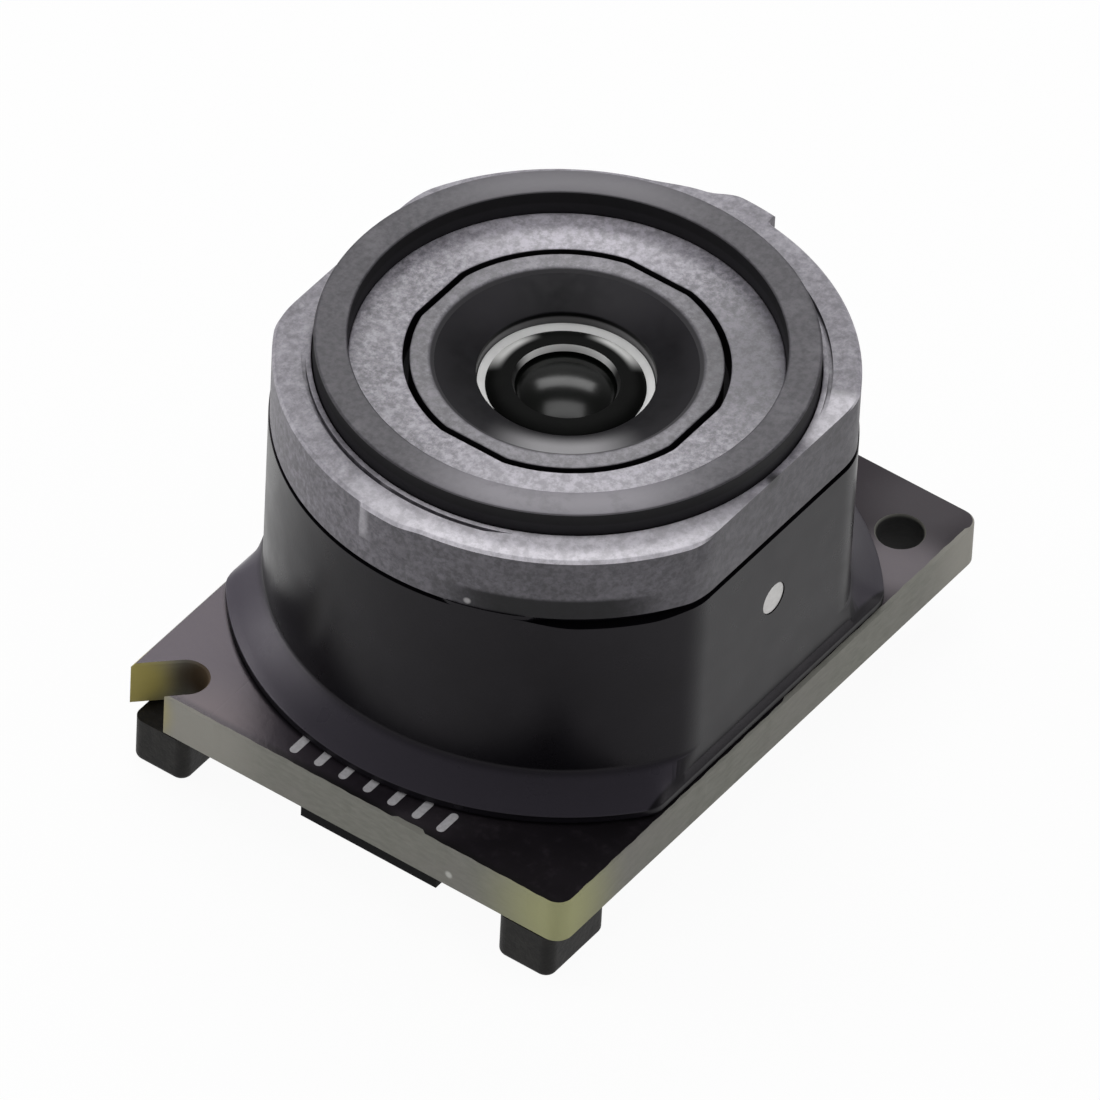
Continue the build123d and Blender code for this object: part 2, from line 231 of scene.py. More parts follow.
def clipped(radius, angle, half_x, half_y, blend):
    """How far a round outline reaches at an angle when flats cut it."""
    c, s = abs(math.cos(angle)), abs(math.sin(angle))
    if half_x and c > TINY:
        radius = soft_min(radius, half_x / c, blend)
    if half_y and s > TINY:
        radius = soft_min(radius, half_y / s, blend)
    return radius


def keyed(radius, angle, round_r, flat):
    """A round outline with four flats, for any radius close to the round one."""
    half = radius - round_r + flat
    return clipped(radius, angle, half, half, KEYED_BLEND)


def arc(centre, radius, start, end, steps):
    """Points of an arc in a plane, angles in degrees."""
    points = []
    for i in range(steps + 1):
        angle = math.radians(start + (end - start) * i / steps)
        points.append((centre[0] + radius * math.cos(angle), centre[1] + radius * math.sin(angle)))
    return points


def circle(centre, radius):
    """Points of a full circle in a plane."""
    return arc(centre, radius, 0, 360, CIRCLE_STEPS)[:-1]


def at_height(points, z):
    """Points of the board's plane lifted to a height."""
    return [(x, y, z) for x, y in points]


def rounded(corners):
    """A closed section from (radius, height, rounding) corners in mm, each rounding a short arc."""
    path = []
    count = len(corners)
    for i, (radius, height, rounding) in enumerate(corners):
        here = Vector((radius, height))
        if not rounding:
            path.append(here)
            continue
        back = (Vector(corners[i - 1][:2]) - here).normalized()
        ahead = (Vector(corners[(i + 1) % count][:2]) - here).normalized()
        reach = rounding / math.tan(back.angle(ahead) / 2)
        start, end = here + back * reach, here + ahead * reach
        for k in range(ARC_STEPS + 1):
            t = k / ARC_STEPS
            path.append((1 - t) ** 2 * start + 2 * t * (1 - t) * here + t ** 2 * end)
    return path


def ring(mesh, points):
    """One closed row of mesh points, given in mm."""
    return [mesh.verts.new((x * MM, y * MM, z * MM)) for x, y, z in points]


def bridge(mesh, low, high):
    """Wall faces between two rows with as many points."""
    faces = []
    for i in range(len(low)):
        j = (i + 1) % len(low)
        faces.append(mesh.faces.new((low[i], low[j], high[j], high[i])))
    return faces


def plain(radius, height, angle):
    """A section that is the same at each angle."""
    return radius, height


def lathe(section, shape=plain, steps=STEPS):
    """A closed turned mesh whose section may be reshaped at each angle."""
    angles = [math.radians(360 * i / steps) for i in range(steps)]
    mesh = bmesh.new()
    rows = []
    for radius, height in section:
        row = []
        for angle in angles:
            r, z = shape(radius, height, angle)
            row.append((r * math.cos(angle), r * math.sin(angle), z))
        rows.append(ring(mesh, row))
    for low, high in zip(rows, rows[1:] + rows[:1]):
        bridge(mesh, low, high)
    bmesh.ops.remove_doubles(mesh, verts=mesh.verts, dist=TINY * MM)
    bmesh.ops.dissolve_degenerate(mesh, edges=mesh.edges, dist=TINY * MM / 2)
    bmesh.ops.recalc_face_normals(mesh, faces=mesh.faces)
    return mesh


def new_object(name, mesh):
    """An object in the scene from a finished mesh."""
    data = bpy.data.meshes.new(name)
    mesh.to_mesh(data)
    mesh.free()
    made = bpy.data.objects.new(name, data)
    bpy.context.scene.collection.objects.link(made)
    return made


def piece(name, mesh, finishes, slot, *nodes):
    """Turns a mesh into an object that rides on the body and stands for its CAD nodes."""
    made = new_object(name, mesh)
    for finish in finishes:
        made.data.materials.append(finish)
    for face in made.data.polygons:
        face.use_smooth = True
    made.data.set_sharp_from_angle(angle=SMOOTH_ANGLE)
    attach(made, "root")
    if nodes:
        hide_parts(*nodes)
    return made


def set_range(node, low, high, start, end):
    """Sets the two ranges of a Map Range node."""
    for socket, number in zip(("From Min", "From Max", "To Min", "To Max"), (low, high, start, end)):
        node.inputs[socket].default_value = number


# Places, sizes and distances of the finishes are in mm, colours are linear
# A spot is full within one distance of its place and gone beyond the other
Spot = namedtuple("Spot", "place full gone colour")


class Finish:
    """A node material round one principled shader."""

    def __init__(self, name, **sockets):
        self.material = bpy.data.materials.new(name)
        self.material.use_nodes = True
        self.tree = self.material.node_tree
        self.shader = self.tree.nodes["Principled BSDF"]
        for socket, value in sockets.items():
            label = socket.replace("_", " ").title().replace("Ior", "IOR")
            self.shader.inputs[label].default_value = value
        coords = self.node("TexCoord")
        scaled = self.node("VectorMath", "SCALE")
        scaled.inputs["Scale"].default_value = 1 / MM
        self.join(coords.outputs["Object"], scaled.inputs[0])
        self.place = scaled.outputs["Vector"]

    def node(self, kind, operation=None):
        made = self.tree.nodes.new("ShaderNode" + kind)
        if operation:
            made.operation = operation
        return made

    def join(self, source, target):
        self.tree.links.new(source, target)

    def stretched(self, x, y, z):
        """The place with its three lengths multiplied."""
        node = self.node("VectorMath", "MULTIPLY")
        node.inputs[1].default_value = (x, y, z)
        self.join(self.place, node.inputs[0])
        return node.outputs["Vector"]

    def noise(self, scale, detail=3.0, rough=0.55, place=None):
        """A cloudy pattern with so many features in a millimetre."""
        node = self.node("TexNoise")
        node.inputs["Scale"].default_value = scale
        node.inputs["Detail"].default_value = detail
        node.inputs["Roughness"].default_value = rough
        self.join(place or self.place, node.inputs["Vector"])
        return node.outputs["Fac"]

    def ramp(self, value, low, high, start=0.0, end=1.0):
        """A smooth change from start to end while a value goes from low to high."""
        node = self.node("MapRange")
        node.interpolation_type = "SMOOTHSTEP"
        set_range(node, low, high, start, end)
        self.join(value, node.inputs["Value"])
        return node.outputs["Result"]

    def combine(self, operation, *masks):
        total = masks[0]
        for mask in masks[1:]:
            node = self.node("Math", operation)
            self.join(total, node.inputs[0])
            self.join(mask, node.inputs[1])
            total = node.outputs["Value"]
        return total

    def both(self, *masks):
        return self.combine("MULTIPLY", *masks)

    def most(self, *masks):
        return self.combine("MAXIMUM", *masks)

    def mix(self, factor, a, b):
        """From colour a to colour b along a mask."""
        node = self.node("Mix")
        node.data_type = "RGBA"
        self.join(factor, node.inputs["Factor"])
        colours = [s for s in node.inputs if s.type == "RGBA"]
        for value, target in zip((a, b), colours):
            if isinstance(value, tuple):
                target.default_value = (*value, 1)
            else:
                self.join(value, target)
        return [s for s in node.outputs if s.type == "RGBA"][0]

    def grained(self, colour, grain, share):
        """The same colour made darker and lighter by a share along a noise."""
        node = self.node("VectorMath", "SCALE")
        self.join(colour, node.inputs[0])
        self.join(self.ramp(grain, *GRAIN_RANGE, 1 - share, 1 + share), node.inputs["Scale"])
        return node.outputs["Vector"]

    def upward(self, low, high):
        """1 on faces that look up, 0 on walls and below."""
        split = self.node("SeparateXYZ")
        self.join(self.node("NewGeometry").outputs["True Normal"], split.inputs["Vector"])
        return self.ramp(split.outputs["Z"], low, high)

    def along(self, axis, low, high, start=0.0, end=1.0):
        """A smooth change between two places along X, Y or Z."""
        split = self.node("SeparateXYZ")
        self.join(self.place, split.inputs["Vector"])
        return self.ramp(split.outputs[axis], low, high, start, end)

    def around(self, low, high, start=0.0, end=1.0):
        """A smooth change between two distances from the lens axis."""
        flat = self.node("VectorMath", "LENGTH")
        self.join(self.stretched(1.0, 1.0, 0.0), flat.inputs[0])
        return self.ramp(flat.outputs["Value"], low, high, start, end)

    def near(self, point, full, gone):
        """1 close to a point, 0 further off."""
        node = self.node("VectorMath", "DISTANCE")
        self.join(self.place, node.inputs[0])
        node.inputs[1].default_value = point
        return self.ramp(node.outputs["Value"], full, gone, 1.0, 0.0)

    def spot(self, colour, spot):
        """A colour with a round spot laid over it."""
        return self.mix(self.near(spot.place, spot.full, spot.gone), colour, spot.colour)

    def spots(self, colour, named):
        for spot in named.values():
            colour = self.spot(colour, spot)
        return colour

    def turned(self):
        """Fine circular machining marks that stretch the sheen."""
        tangent = self.node("Tangent")
        tangent.direction_type = "RADIAL"
        tangent.axis = "Z"
        self.shader.inputs["Anisotropic"].default_value = TURNED_SHEEN
        self.join(tangent.outputs["Tangent"], self.shader.inputs["Tangent"])
        return self

    def paint(self, colour):
        self.join(colour, self.shader.inputs["Base Color"])
        return self

    def rough(self, value):
        self.join(value, self.shader.inputs["Roughness"])
        return self

    def bump(self, height, depth):
        node = self.node("Bump")
        node.inputs["Strength"].default_value = 1.0
        node.inputs["Distance"].default_value = depth * MM
        self.join(height, node.inputs["Height"])
        self.join(node.outputs["Normal"], self.shader.inputs["Normal"])
        return self


# Shared by several finishes
GRAIN_RANGE = (0.36, 0.64)
TURNED_SHEEN = 0.6
LEFT_FADE = (-0.5, 2.2)
# Black, and the painted shade on groove walls
BLACK_AND_WALL_SHADE = (0.006, 0.0055, 0.007)
# Dark grey of the lip's slope, and of the painted highlights on the cone
SLOPE_GREY_AND_CONE_HIGHLIGHT = (0.026, 0.0245, 0.028)

# Solder mask
MASK_TINT = (1.0, 0.86, 0.97, 1.0)
MASK_DARK = (0.003, 0.0026, 0.0032)
MASK_BLACK = (0.006, 0.005, 0.0065)
MASK_LIT_LEFT = (0.026, 0.021, 0.028)
MASK_DUST = (0.03, 0.025, 0.031)
MASK_EDGE_SHADE = (0.004, 0.004, 0.004)
MASK_EDGE_SHADE_X = (BOARD_MIN.x + 0.05, BOARD_MIN.x + 0.2)
MASK_CONTACT_SHADE = (0.002, 0.002, 0.002)
MASK_CONTACT_SHADE_R = (HOLDER_MAX.x, HOLDER_MAX.x + 0.06)
MASK_DULL_X = (1.5, 4.5)
# Spots on the mask: the two by the hole are painted reflections, the one by the slot a brownish patch
MASK_SPOTS = {
    "before_hole_reflection": Spot((HOLE_X - 0.6, HOLE_Y - 0.45, BOARD_TOP), 0.35, 1.1, (0.16, 0.145, 0.155)),
    "behind_hole_reflection": Spot((BOARD_MAX.x - 0.3, HOLE_Y, BOARD_TOP), 0.3, 1.5, (0.045, 0.042, 0.045)),
    "by_slot": Spot((BOARD_MIN.x, BOARD_MAX.y - 1.6, BOARD_TOP), 0.1, 1.3, (0.085, 0.068, 0.066)),
}


def solder_mask():
    """Black mask, glossier to the left, with painted reflection making it lighter to the left, dusty
    patches, painted reflections by the hole, a painted contact shadow by the skirt and painted shade along
    the -X end.
    """
    f = Finish("solder_mask", specular_ior_level=0.3, specular_tint=MASK_TINT)
    tone = f.mix(f.ramp(f.noise(0.7, 4), 0.35, 0.7), MASK_DARK, MASK_BLACK)
    # Painted reflection: the mask gets lighter towards +Y, the left side
    tone = f.mix(f.along("Y", BOARD_MIN.y, BOARD_MAX.y), tone, MASK_LIT_LEFT)
    tone = f.mix(f.ramp(f.noise(5.0, 5, 0.65), 0.5, 0.8, 0.0, 0.5), tone, MASK_DUST)
    tone = f.spots(tone, MASK_SPOTS)
    # Painted contact shadow: a dark line on the mask round the skirt, fading out towards the front
    line = f.both(f.around(*MASK_CONTACT_SHADE_R, 0.8, 0.0), f.along("Y", *LEFT_FADE))
    tone = f.mix(line, tone, MASK_CONTACT_SHADE)
    # Painted shade: a darker band along the board's -X end
    f.paint(f.mix(f.along("X", *MASK_EDGE_SHADE_X, 1.0, 0.0), tone, MASK_EDGE_SHADE))
    front = f.along("Y", BOARD_MAX.y, BOARD_MIN.y, 0.26, 0.4)
    f.rough(f.most(front, f.along("X", *MASK_DULL_X, 0.26, 0.6)))
    return f.bump(f.noise(9.0, 3), 0.0025).material


# Laminate edge
EDGE_DARK = (0.172, 0.172, 0.15)
EDGE_LIGHT = (0.222, 0.22, 0.195)
EDGE_CLOUD = (0.215, 0.205, 0.19)
EDGE_PALE = (0.29, 0.28, 0.25)
EDGE_MID = BOARD_TOP - 0.4
FIBRE_FLATTEN = (1.0, 1.0, 3.5)
EDGE_SPOTS = {
    "yellow_corner": Spot((BOARD_MIN.x, BOARD_MIN.y, EDGE_MID), 0.2, 1.9, (0.36, 0.36, 0.185)),
    "left_end": Spot((BOARD_MIN.x, BOARD_MAX.y - 1.5, EDGE_MID), 0.3, 1.7, EDGE_PALE),
    "right_end": Spot((BOARD_MAX.x - 0.1, BOARD_MIN.y, EDGE_MID), 0.3, 1.7, EDGE_PALE),
    "slot_mouth": Spot((BOARD_MIN.x + 0.1, BOARD_MAX.y - 0.2, EDGE_MID), 0.35, 0.95, (0.4, 0.34, 0.1)),
    # Painted shade at the slot's end
    "slot_end_shade": Spot((SLOT_X + 0.2, SLOT_Y - 0.2, BOARD_TOP - 0.3), 0.3, 0.75, (0.05, 0.03, 0.012)),
    "speck": Spot((BOARD_MIN.x, -2.13, BOARD_TOP - 0.57), 0.03, 0.09, (0.5, 0.5, 0.47)),
    # Painted shade inside the hole
    "hole_wall_shade": Spot((HOLE_X, HOLE_Y, EDGE_MID), 0.5, 0.62, (0.012, 0.0115, 0.011)),
}


def laminate_edge():
    """Bare grey glass laminate, yellow at the front corner and in the slot, with painted shade at the slot's
    end and in the hole.
    """
    f = Finish("laminate_edge", roughness=0.7, specular_ior_level=0.3)
    fibres = f.noise(4.0, 5, 0.6, f.stretched(*FIBRE_FLATTEN))
    tone = f.mix(f.ramp(fibres, 0.2, 0.8), EDGE_DARK, EDGE_LIGHT)
    tone = f.mix(f.ramp(f.noise(0.8, 3), 0.4, 0.7, 0.0, 0.5), tone, EDGE_CLOUD)
    f.paint(f.spots(tone, EDGE_SPOTS))
    return f.bump(fibres, 0.006).material


# Black moulding of the holder
MOULD_TINT = (0.98, 0.92, 1.0, 1.0)
MOULD_DARK = (0.003, 0.0027, 0.0038)
MOULD_BLACK = (0.006, 0.0055, 0.0072)
MOULD_SHADE = (0.004, 0.0036, 0.0048)
SKIRT_FRONT = (0.036, 0.0325, 0.0418)
SKIRT_LIT_LEFT = (0.064, 0.057, 0.073)
SKIRT_LIT_LEFT_Y = (1.0, 3.6)
SKIRT_LIP_Z = (BOARD_TOP + 0.15, BOARD_TOP + 0.1)
SKIRT_END_Z = (BOARD_TOP + 0.5, BOARD_TOP + 0.65)
FOOT_SHADE_Z = (BOARD_TOP + 0.55, BOARD_TOP + 1.7)
FLAT_SHADE_Y = (0.04 - FLAT_HALF, -0.01 - FLAT_HALF)


def black_moulding():
    """Smooth black plastic, with the skirt painted lighter as painted light, more so to the left, and
    painted shade round its foot, along the flat's foot and on the skirt's lip.
    """
    f = Finish("black_moulding", specular_ior_level=0.155, specular_tint=MOULD_TINT)
    body = f.mix(f.ramp(f.noise(0.6, 3), 0.3, 0.7), MOULD_DARK, MOULD_BLACK)
    lip_wall = f.along("Z", *SKIRT_LIP_Z)
    low = f.along("Z", *SKIRT_END_Z, 1.0, 0.0)
    skirt = f.both(low, f.most(f.upward(0.2, 0.5), lip_wall))
    # Painted light: the skirt's faces are painted lighter, and lighter still to the left
    body = f.mix(skirt, body, f.mix(f.along("Y", *SKIRT_LIT_LEFT_Y), SKIRT_FRONT, SKIRT_LIT_LEFT))
    # Painted shade on the walls above the skirt, along the foot of the flat and on the skirt's lip
    foot = f.both(f.along("Z", *FOOT_SHADE_Z, 0.85, 0.0), f.upward(0.4, 0.1))
    flat = f.both(f.along("Y", *FLAT_SHADE_Y), low)
    lip = f.both(lip_wall, f.upward(0.3, 0.1), f.along("Y", *LEFT_FADE))
    f.paint(f.mix(f.most(foot, flat, lip), body, MOULD_SHADE))
    f.rough(f.ramp(f.noise(1.4, 4), 0.3, 0.7, 0.27, 0.33))
    return f.bump(f.noise(24.0, 2), 0.0012).material


# Grey moulding of the collar, pairs of colours from dark to light grain
GREY_NEAR = ((0.044, 0.0405, 0.0493), (0.092, 0.0855, 0.1017))
GREY_LIT_LEFT = ((0.072, 0.067, 0.079), (0.158, 0.148, 0.173))
GREY_LIT_LEFT_Y = (-2.4, 2.4)
GREY_TOP = ((0.2, 0.188, 0.218), (0.3, 0.286, 0.322))
GREY_BLOTCH = (0.13, 0.122, 0.142)
GREY_FLAT_SHADE = (0.03, 0.0275, 0.0335)
GREY_FLAT_SHADE_Y = (0.4 - FLAT_HALF, 0.05 - FLAT_HALF)
LUG_GLINT = (0.3, 0.288, 0.315)
LUG_GLINT_FROM_Y = (LUG_HALF - 0.26, LUG_HALF - 0.12)
LUG_GLINT_TO_Y = (LUG_HALF + 0.06, LUG_HALF - 0.02)
LUG_GLINT_Z = (COLLAR_TOP - 0.75, COLLAR_TOP - 0.55)
LUG_GLINT_X = (0.0, -1.0)
RELIEF_AT = (-3.9, -2.6, BODY_TOP + 0.2)
RELIEF_Z = (BODY_TOP + 0.34, BODY_TOP + 0.44)
TOP_CLOUD = (0.36, 0.345, 0.385)
TOP_SMUDGE = (0.12, 0.113, 0.132)
TOP_HIGHLIGHT = (0.66, 0.636, 0.69)
TOP_HIGHLIGHT_AT = (-3.9, -2.5, COLLAR_TOP)
# Painted highlights in a streak along the top edge over the -Y flat
STREAK_HIGHLIGHT = (0.6, 0.578, 0.627)
STREAK_HIGHLIGHTS = {
    "low": Spot((1.2, -4.2, COLLAR_TOP), 0.2, 0.6, STREAK_HIGHLIGHT),
    "high": Spot((1.75, -4.05, COLLAR_TOP), 0.2, 0.6, STREAK_HIGHLIGHT),
}
COLLAR_SPOTS = {
    # A dark spot at the top of the -Y flat's middle
    "flat_top_dark_spot": Spot((-0.2, -FLAT_HALF, COLLAR_TOP - 0.05), 0.05, 0.22, (0.02, 0.0185, 0.0225)),
    "chip": Spot((-4.457, -1.362, BODY_TOP + 0.1), 0.03, 0.08, (0.36, 0.35, 0.36)),
}


def collar_side(f, fine, relief):
    """The wall of the collar: painted light to the left, painted shade by the flat, a painted glint at the
    lug's end, black in its relief.
    """
    # Painted light: the wall is painted lighter towards +Y, the left side
    side = f.mix(f.along("Y", *GREY_LIT_LEFT_Y), f.mix(fine, *GREY_NEAR), f.mix(fine, *GREY_LIT_LEFT))
    side = f.mix(f.ramp(f.noise(2.2, 4, 0.7), 0.48, 0.75, 0.0, 0.6), side, GREY_BLOTCH)
    # Painted shade: the wall is darker next to the -Y flat
    side = f.mix(f.along("Y", *GREY_FLAT_SHADE_Y, 0.0, 0.4), side, GREY_FLAT_SHADE)
    # Painted glint: a light patch on the wall at the lug's end
    across = f.both(f.along("Y", *LUG_GLINT_FROM_Y), f.along("Y", *LUG_GLINT_TO_Y))
    bare = f.both(across, f.along("Z", *LUG_GLINT_Z), f.along("X", *LUG_GLINT_X))
    return f.mix(relief, f.mix(bare, side, LUG_GLINT), BLACK_AND_WALL_SHADE)


def collar_top(f, fine):
    """The top of the collar: smudged, with a painted highlight in front and painted highlights in a streak
    on the right.
    """
    top = f.mix(fine, *GREY_TOP)
    top = f.mix(f.ramp(f.noise(1.1, 4, 0.6), 0.48, 0.75, 0.0, 0.7), top, TOP_CLOUD)
    top = f.mix(f.ramp(f.noise(1.5, 4, 0.7), 0.52, 0.72, 0.0, 0.75), top, TOP_SMUDGE)
    # Painted highlight: a bright, noisy patch on the top towards the front
    worn = f.both(f.near(TOP_HIGHLIGHT_AT, 1.6, 4.4), f.ramp(f.noise(2.6, 4), 0.0, 0.5))
    return f.spots(f.mix(worn, top, TOP_HIGHLIGHT), STREAK_HIGHLIGHTS)


def grey_moulding():
    """Grainy grey plastic with a turned sheen, smudged, with a small chip and a dark spot at the flat's top,
    painted light and shade on the walls, painted highlights on top and a painted glint on the lug.
    """
    f = Finish("grey_moulding", specular_ior_level=0.5)
    grain = f.noise(9.0, 5, 0.68)
    fine = f.ramp(grain, *GRAIN_RANGE)
    relief = f.both(f.near(RELIEF_AT, 0.8, 2.3), f.along("Z", *RELIEF_Z, 1.0, 0.0))
    f.rough(f.ramp(relief, 0.0, 1.0, 0.45, 0.8))
    body = f.mix(f.upward(0.1, 0.6), collar_side(f, fine, relief), collar_top(f, fine))
    body = f.grained(body, f.noise(5.0, 4, 0.75), 0.17)
    f.paint(f.spots(body, COLLAR_SPOTS))
    return f.turned().bump(grain, 0.006).material


# Barrel
RIM_DARK = (0.045, 0.042, 0.05)
RIM_LIGHT = (0.088, 0.082, 0.095)
RIM_CLOUD = (0.14, 0.133, 0.15)
RIM_FACE_Z = (RIM_TOP - 0.15, RIM_TOP - 0.1)
BARREL_WALL = ((0.009, 0.0081, 0.0104), (0.003, 0.0027, 0.0036))
BARREL_WALL_Z = (RIM_TOP - 0.24, RIM_TOP - 0.2)
# Painted highlights on the rim's top, front and back
RIM_HIGHLIGHTS = {
    "front_highlight": Spot((-3.1, -2.1, RIM_TOP), 0.8, 2.8, (0.22, 0.209, 0.2332)),
    "back_highlight": Spot((3.1, 2.1, RIM_TOP), 0.8, 2.8, (0.13, 0.1235, 0.1378)),
}


def barrel_black():
    """Blackened metal: black walls and a grey turned rim with painted highlights front and back."""
    f = Finish("barrel_black", specular_ior_level=0.35)
    grain = f.noise(9.0, 5, 0.65)
    top = f.spots(f.mix(f.ramp(grain, 0.28, 0.72), RIM_DARK, RIM_LIGHT), RIM_HIGHLIGHTS)
    top = f.mix(f.ramp(f.noise(1.7, 4, 0.7), 0.5, 0.72, 0.0, 0.6), top, RIM_CLOUD)
    wall = f.mix(f.along("Z", *BARREL_WALL_Z), *BARREL_WALL)
    face = f.both(f.upward(0.5, 0.9), f.along("Z", *RIM_FACE_Z))
    f.paint(f.mix(face, wall, top))
    f.rough(f.ramp(face, 0.0, 1.0, 0.7, 0.42))
    return f.turned().bump(grain, 0.004).material


# Blasted rings: the painted highlights and the painted shade are shares of the ring's own colours
BLASTED_RING = ((0.185, 0.176, 0.203), (0.355, 0.338, 0.379))
BLASTED_LIP = ((0.115, 0.11, 0.125), (0.175, 0.167, 0.187))
BLASTED_HIGHLIGHTS = (((-2.5, -1.7, FRONT_TOP), 1.13), ((2.5, 1.7, FRONT_TOP), 1.3))
BLASTED_SHADE_AT = (1.9, -2.4, FRONT_TOP)
BLASTED_SHADE = 0.75
BLASTED_TICK = Spot((-1.83, -1.82, FRONT_TOP), 0.03, 0.06, (0.05, 0.05, 0.05))
SLOPE_R = (2.15, 2.19)
SLOPE_LIT = Spot((-1.8, -1.2, FRONT_TOP), 0.2, 1.6, (0.1, 0.098, 0.103))


def blasted_grey(name, dark, light):
    """Bead-blasted metal: light on top with painted highlights and painted shade, black on the walls of its
    grooves as painted shade, dark grey towards the cone with painted light on its near side.
    """
    f = Finish(name, specular_ior_level=0.6)
    grain = f.noise(10.0, 6, 0.72)
    top = f.mix(f.ramp(grain, 0.38, 0.62), dark, light)
    top = f.mix(f.ramp(f.noise(0.9, 3), 0.42, 0.72, 0.0, 0.5), top, light)
    top = f.mix(f.ramp(f.noise(2.8, 4, 0.7), 0.52, 0.75, 0.0, 0.55), top, dark)
    # Painted highlights on the top, front and back
    for place, shine in BLASTED_HIGHLIGHTS:
        top = f.spot(top, Spot(place, 0.4, 2.6, tuple(shine * c for c in light)))
    # Painted shade on the top's right side
    top = f.spot(top, Spot(BLASTED_SHADE_AT, 0.3, 2.4, tuple(BLASTED_SHADE * c for c in dark)))
    top = f.spot(f.grained(top, f.noise(6.5, 4, 0.75), 0.26), BLASTED_TICK)
    # Dark grey towards the cone, with painted light on its near side
    top = f.mix(f.around(*SLOPE_R), f.spot(SLOPE_GREY_AND_CONE_HIGHLIGHT, SLOPE_LIT), top)
    f.rough(f.around(*SLOPE_R, 0.85, 0.42))
    # Painted shade: the walls are painted black
    f.paint(f.mix(f.upward(0.3, 0.6), BLACK_AND_WALL_SHADE, top))
    return f.turned().bump(grain, 0.007).material


# Hood cone
CONE_DARK = BLACK_AND_WALL_SHADE
CONE_LIGHT = (0.01, 0.0095, 0.0115)
CONE_OUTER = (0.013, 0.012, 0.0145)
CONE_OUTER_R = (1.7, 2.1)
CONE_NEAR_LIT = (0.29, 0.285, 0.295)
CONE_NEAR_LIT_AT = (-1.6, -1.1, FRONT_TOP - 0.15)
CONE_NEAR_LIT_R = (1.4, 1.9)
CONE_WALL = ((0.17, 0.167, 0.17), (0.004, 0.004, 0.004))
CONE_WALL_Z = (SHELF + 0.14, SHELF + 0.2)
# Painted highlights on the cone, left and right
CONE_HIGHLIGHTS = {
    "left": Spot((0.4, 1.8, FRONT_TOP), 0.1, 1.2, SLOPE_GREY_AND_CONE_HIGHLIGHT),
    "right": Spot((1.9, 0.1, FRONT_TOP), 0.1, 1.2, SLOPE_GREY_AND_CONE_HIGHLIGHT),
}


def cone_black():
    """Dark satin cone, with painted light on the near side and painted highlights left and right."""
    f = Finish("cone_black", specular_ior_level=0.09)
    rings = f.noise(3.0, 3)
    body = f.mix(f.ramp(rings, 0.3, 0.7), CONE_DARK, CONE_LIGHT)
    body = f.spots(f.mix(f.around(*CONE_OUTER_R), body, CONE_OUTER), CONE_HIGHLIGHTS)
    # Painted light: the near side is painted grey
    body = f.mix(f.both(f.near(CONE_NEAR_LIT_AT, 0.3, 1.4), f.around(*CONE_NEAR_LIT_R)), body, CONE_NEAR_LIT)
    wall = f.mix(f.along("Z", *CONE_WALL_Z), *CONE_WALL)
    f.paint(f.mix(f.upward(0.1, 0.3), wall, body))
    f.rough(f.ramp(f.noise(5.0, 3), 0.3, 0.7, 0.32, 0.42))
    return f.bump(rings, 0.002).material


# Front glass finishes
COATING = ((0.0015, 0.0017, 0.0015), (0.003, 0.004, 0.003))
BARE_EDGE = ((0.66, 0.66, 0.66), (0.85, 0.85, 0.84))
INNER_STEP = (0.008, 0.008, 0.008)
INNER_LIT = Spot((0.7, 0.47, FLANK_TOP), 0.6, 1.0, (0.9, 0.9, 0.89))
INNER_R = (1.0, 1.1)
EDGE_PAINT = ((0.002, 0.002, 0.002), (0.004, 0.0045, 0.004))
GLINT = (0.62, 0.62, 0.61)
GLINT_PLACES = ((0.1, 1.25, FLANK_LOW), (1.2, -0.2, FLANK_LOW))
GLINT_R = (1.02, 1.16)


def coated_glass():
    f = Finish("coated_glass", ior=1.32)
    f.rough(f.ramp(f.noise(1.5, 3), 0.3, 0.8, 0.16, 0.22))
    return f.paint(f.mix(f.noise(1.2, 2), *COATING)).material


def bright_ring():
    """Bare ground glass edge: bright all round outside, with painted light on one side of the inner step."""
    f = Finish("bright_ring")
    f.rough(f.ramp(f.noise(6.0, 3), 0.3, 0.7, 0.28, 0.42))
    bare = f.mix(f.noise(3.0, 3), *BARE_EDGE)
    return f.paint(f.mix(f.around(*INNER_R), f.spot(INNER_STEP, INNER_LIT), bare)).material


def lens_black():
    """Blackened flank of the front glass with two painted glints in crescents."""
    f = Finish("lens_edge_black", roughness=0.5, specular_ior_level=0.03)
    body = f.mix(f.noise(4.0, 3), *EDGE_PAINT)
    # Painted glints: two bright crescents on the flank
    for place in GLINT_PLACES:
        body = f.mix(f.both(f.near(place, 0.2, 0.65), f.around(*GLINT_R)), body, GLINT)
    return f.paint(body).material


# Plain finishes, pairs of colours from dark to light grain
WHITE_FILL = ((0.6, 0.59, 0.58), (0.78, 0.77, 0.76))
FOOT_BLACK = ((0.004, 0.0034, 0.003), (0.012, 0.0108, 0.0094))
BOARD_PRINT = ((0.42, 0.41, 0.43), (0.52, 0.51, 0.53))
CHIP_BLACK = ((0.005, 0.005, 0.0055), (0.01, 0.01, 0.0105))
SOLDER = ((0.5, 0.5, 0.51), (0.68, 0.68, 0.69))
CONTACT_GOLD = ((0.62, 0.42, 0.16), (0.76, 0.55, 0.24))
CONNECTOR = ((0.02, 0.019, 0.018), (0.034, 0.032, 0.03))
CERAMIC = ((0.2, 0.13, 0.08), (0.28, 0.19, 0.12))
SILICON = ((0.02, 0.022, 0.03), (0.03, 0.034, 0.05))
BLACKENED = ((0.01, 0.01, 0.01), (0.02, 0.02, 0.02))
FILTER_GLASS = ((0.1, 0.25, 0.3), (0.14, 0.32, 0.36))
LENS_GLASS = ((0.7, 0.75, 0.72), (0.8, 0.85, 0.82))
